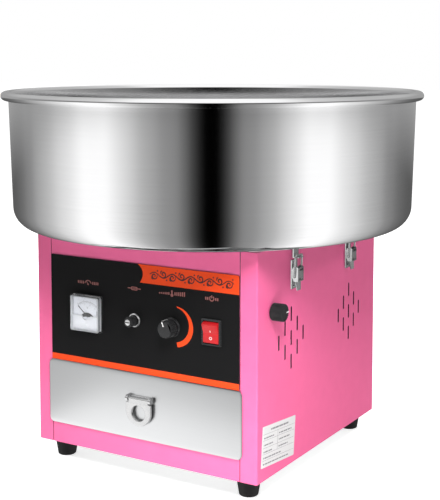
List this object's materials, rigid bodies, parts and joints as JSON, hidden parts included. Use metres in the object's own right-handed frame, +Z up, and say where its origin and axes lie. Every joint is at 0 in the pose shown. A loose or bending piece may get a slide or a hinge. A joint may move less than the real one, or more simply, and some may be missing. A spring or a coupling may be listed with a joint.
{
  "type": "cotton candy machine",
  "caption": "Tabletop cotton candy machine: wide steel bowl on a sheet-metal cabinet with drawer, dial meter, knobs and rocker switch; spinning head inside.",
  "frame": {"origin": "on the table, at the middle of the bounding box's bottom, under the middle of the bowl", "axes": "+X to the operator's right, +Y to the back, +Z up; the control panel faces -Y"},
  "size_m": [0.52, 0.52, 0.4465],
  "materials": {
    "pink_paint": "gloss powder coat",
    "panel_black": "satin print on sheet, with orange bands",
    "bowl_steel": "polished spun stainless",
    "drawer_steel": "satin stainless",
    "bright_steel": "bright nickel plate",
    "zinc_steel": "zinc plated",
    "rubber_black": "matt",
    "black_plastic": "semi-gloss moulded",
    "red_plastic": "gloss moulded, translucent",
    "clear_plastic": "clear moulded",
    "dial_white": "printed card",
    "needle_black": "matt",
    "fuse_glass": "clear",
    "board_green": "solder mask",
    "wire_red": "satin insulation",
    "motor_metal": "black enamel",
    "aluminium": "machined",
    "brass": "turned",
    "insulator": "phenolic",
    "carbon": "graphite",
    "heater_alloy": "heat-tinted",
    "label_white": "satin foil",
    "fan_plastic": "moulded"
  },
  "bodies": {
    "cabinet": {"left_side_panel": "pink_paint", "right_side_panel": "pink_paint", "front_panel": "pink_paint", "rear_panel": "pink_paint", "control_panel": "panel_black", "base_plate": "zinc_steel", "top_plate": "pink_paint", "rubber_feet": "rubber_black", "foot_screws": "zinc_steel", "case_screws": "zinc_steel", "drawer_runners": "zinc_steel", "meter_case": "black_plastic", "meter_dial": "dial_white", "meter_lens": "clear_plastic", "fuse_holder": "bright_steel", "temperature_pot": "zinc_steel", "speed_pot": "zinc_steel", "switch_housing": "black_plastic", "control_board": "board_green", "wiring_loom": "wire_red", "motor_housing": "motor_metal", "motor_bearings": "bright_steel", "motor_mounts": "rubber_black", "motor_plate": "zinc_steel", "motor_bolts": "zinc_steel", "brush_holder": "insulator", "carbon_brushes": "carbon", "latch_bases": "bright_steel", "cord_gland": "black_plastic", "rating_label": "label_white", "bowl_seal": "rubber_black"},
    "spinner": {"motor_shaft": "zinc_steel", "motor_fan": "fan_plastic", "slip_ring_hub": "insulator", "slip_rings": "brass", "head_base": "aluminium", "heater_ring": "heater_alloy", "floss_band": "aluminium", "head_cap": "aluminium", "head_screws": "zinc_steel"},
    "bowl": {"floss_bowl": "bowl_steel", "bowl_catches": "bright_steel"},
    "drawer": {"drawer_tray": "drawer_steel", "drawer_front": "drawer_steel", "pull_bracket": "bright_steel"},
    "pull": {"pull_ring": "bright_steel"},
    "needle": {"meter_needle": "needle_black"},
    "fuse_carrier": {"fuse_link": "fuse_glass"},
    "fuse_top": {"fuse_cap": "black_plastic"},
    "temperature_dial": {"temperature_knob": "black_plastic"},
    "speed_dial": {"speed_knob": "black_plastic"},
    "rocker": {"rocker_button": "red_plastic"},
    "right_front_lever": {"right_front_lever": "bright_steel"},
    "right_front_bail": {"right_front_bail": "bright_steel"},
    "right_rear_lever": {"right_rear_lever": "bright_steel"},
    "right_rear_bail": {"right_rear_bail": "bright_steel"},
    "left_front_lever": {"left_front_lever": "bright_steel"},
    "left_front_bail": {"left_front_bail": "bright_steel"},
    "left_rear_lever": {"left_rear_lever": "bright_steel"},
    "left_rear_bail": {"left_rear_bail": "bright_steel"}
  },
  "joints": [
    {"name": "head_spin", "type": "hinge", "parent": "cabinet", "child": "spinner", "pos_m": [0, 0, 0.32], "axis": [0, 0, 1], "continuous": true},
    {"name": "bowl_lift", "type": "slide", "parent": "cabinet", "child": "bowl", "axis": [0, 0, 1], "range_m": [0, 0.16]},
    {"name": "drawer_slide", "type": "slide", "parent": "cabinet", "child": "drawer", "axis": [0, -1, 0], "range_m": [0, 0.2]},
    {"name": "pull_swing", "type": "hinge", "parent": "drawer", "child": "pull", "pos_m": [0, -0.1634, 0.0955], "axis": [-1, 0, 0], "range_deg": [0, 95]},
    {"name": "needle_swing", "type": "hinge", "parent": "cabinet", "child": "needle", "pos_m": [-0.0753, -0.1623, 0.1857], "axis": [0, 1, 0], "range_deg": [0, 100], "stiffness_Nm_per_rad": 0.0005},
    {"name": "fuse_pull", "type": "slide", "parent": "cabinet", "child": "fuse_carrier", "axis": [0, -1, 0], "range_m": [0, 0.035]},
    {"name": "fuse_turn", "type": "hinge", "parent": "fuse_carrier", "child": "fuse_top", "pos_m": [-0.0088, -0.1655, 0.1863], "axis": [0, -1, 0], "range_deg": [0, 90]},
    {"name": "temperature_turn", "type": "hinge", "parent": "cabinet", "child": "temperature_dial", "pos_m": [0.043, -0.1655, 0.1848], "axis": [0, 1, 0], "range_deg": [-90, 180]},
    {"name": "speed_turn", "type": "hinge", "parent": "cabinet", "child": "speed_dial", "pos_m": [0.1605, -0.1228, 0.2087], "axis": [-1, 0, 0], "range_deg": [-225, 45]},
    {"name": "power_rock", "type": "hinge", "parent": "cabinet", "child": "rocker", "pos_m": [0.0955, -0.1563, 0.1855], "axis": [-1, 0, 0], "range_deg": [0, 20]},
    {"name": "right_front_latch", "type": "hinge", "parent": "cabinet", "child": "right_front_lever", "pos_m": [0.1585, -0.073, 0.248], "axis": [0, -1, 0], "range_deg": [0, 125]},
    {"name": "right_front_bail_swing", "type": "hinge", "parent": "right_front_lever", "child": "right_front_bail", "pos_m": [0.15739, -0.073, 0.24008], "axis": [0, -1, 0], "range_deg": [-125, 0]},
    {"name": "right_rear_latch", "type": "hinge", "parent": "cabinet", "child": "right_rear_lever", "pos_m": [0.1585, 0.073, 0.248], "axis": [0, -1, 0], "range_deg": [0, 125]},
    {"name": "right_rear_bail_swing", "type": "hinge", "parent": "right_rear_lever", "child": "right_rear_bail", "pos_m": [0.15739, 0.073, 0.24008], "axis": [0, -1, 0], "range_deg": [-125, 0]},
    {"name": "left_front_latch", "type": "hinge", "parent": "cabinet", "child": "left_front_lever", "pos_m": [-0.1585, -0.073, 0.248], "axis": [0, 1, 0], "range_deg": [0, 125]},
    {"name": "left_front_bail_swing", "type": "hinge", "parent": "left_front_lever", "child": "left_front_bail", "pos_m": [-0.15739, -0.073, 0.24008], "axis": [0, 1, 0], "range_deg": [-125, 0]},
    {"name": "left_rear_latch", "type": "hinge", "parent": "cabinet", "child": "left_rear_lever", "pos_m": [-0.1585, 0.073, 0.248], "axis": [0, 1, 0], "range_deg": [0, 125]},
    {"name": "left_rear_bail_swing", "type": "hinge", "parent": "left_rear_lever", "child": "left_rear_bail", "pos_m": [-0.15739, 0.073, 0.24008], "axis": [0, 1, 0], "range_deg": [-125, 0]}
  ],
  "couplings": [
    {"joint": "right_front_bail_swing", "follows": "right_front_latch", "ratio": -1},
    {"joint": "right_rear_bail_swing", "follows": "right_rear_latch", "ratio": -1},
    {"joint": "left_front_bail_swing", "follows": "left_front_latch", "ratio": -1},
    {"joint": "left_rear_bail_swing", "follows": "left_rear_latch", "ratio": -1}
  ]
}
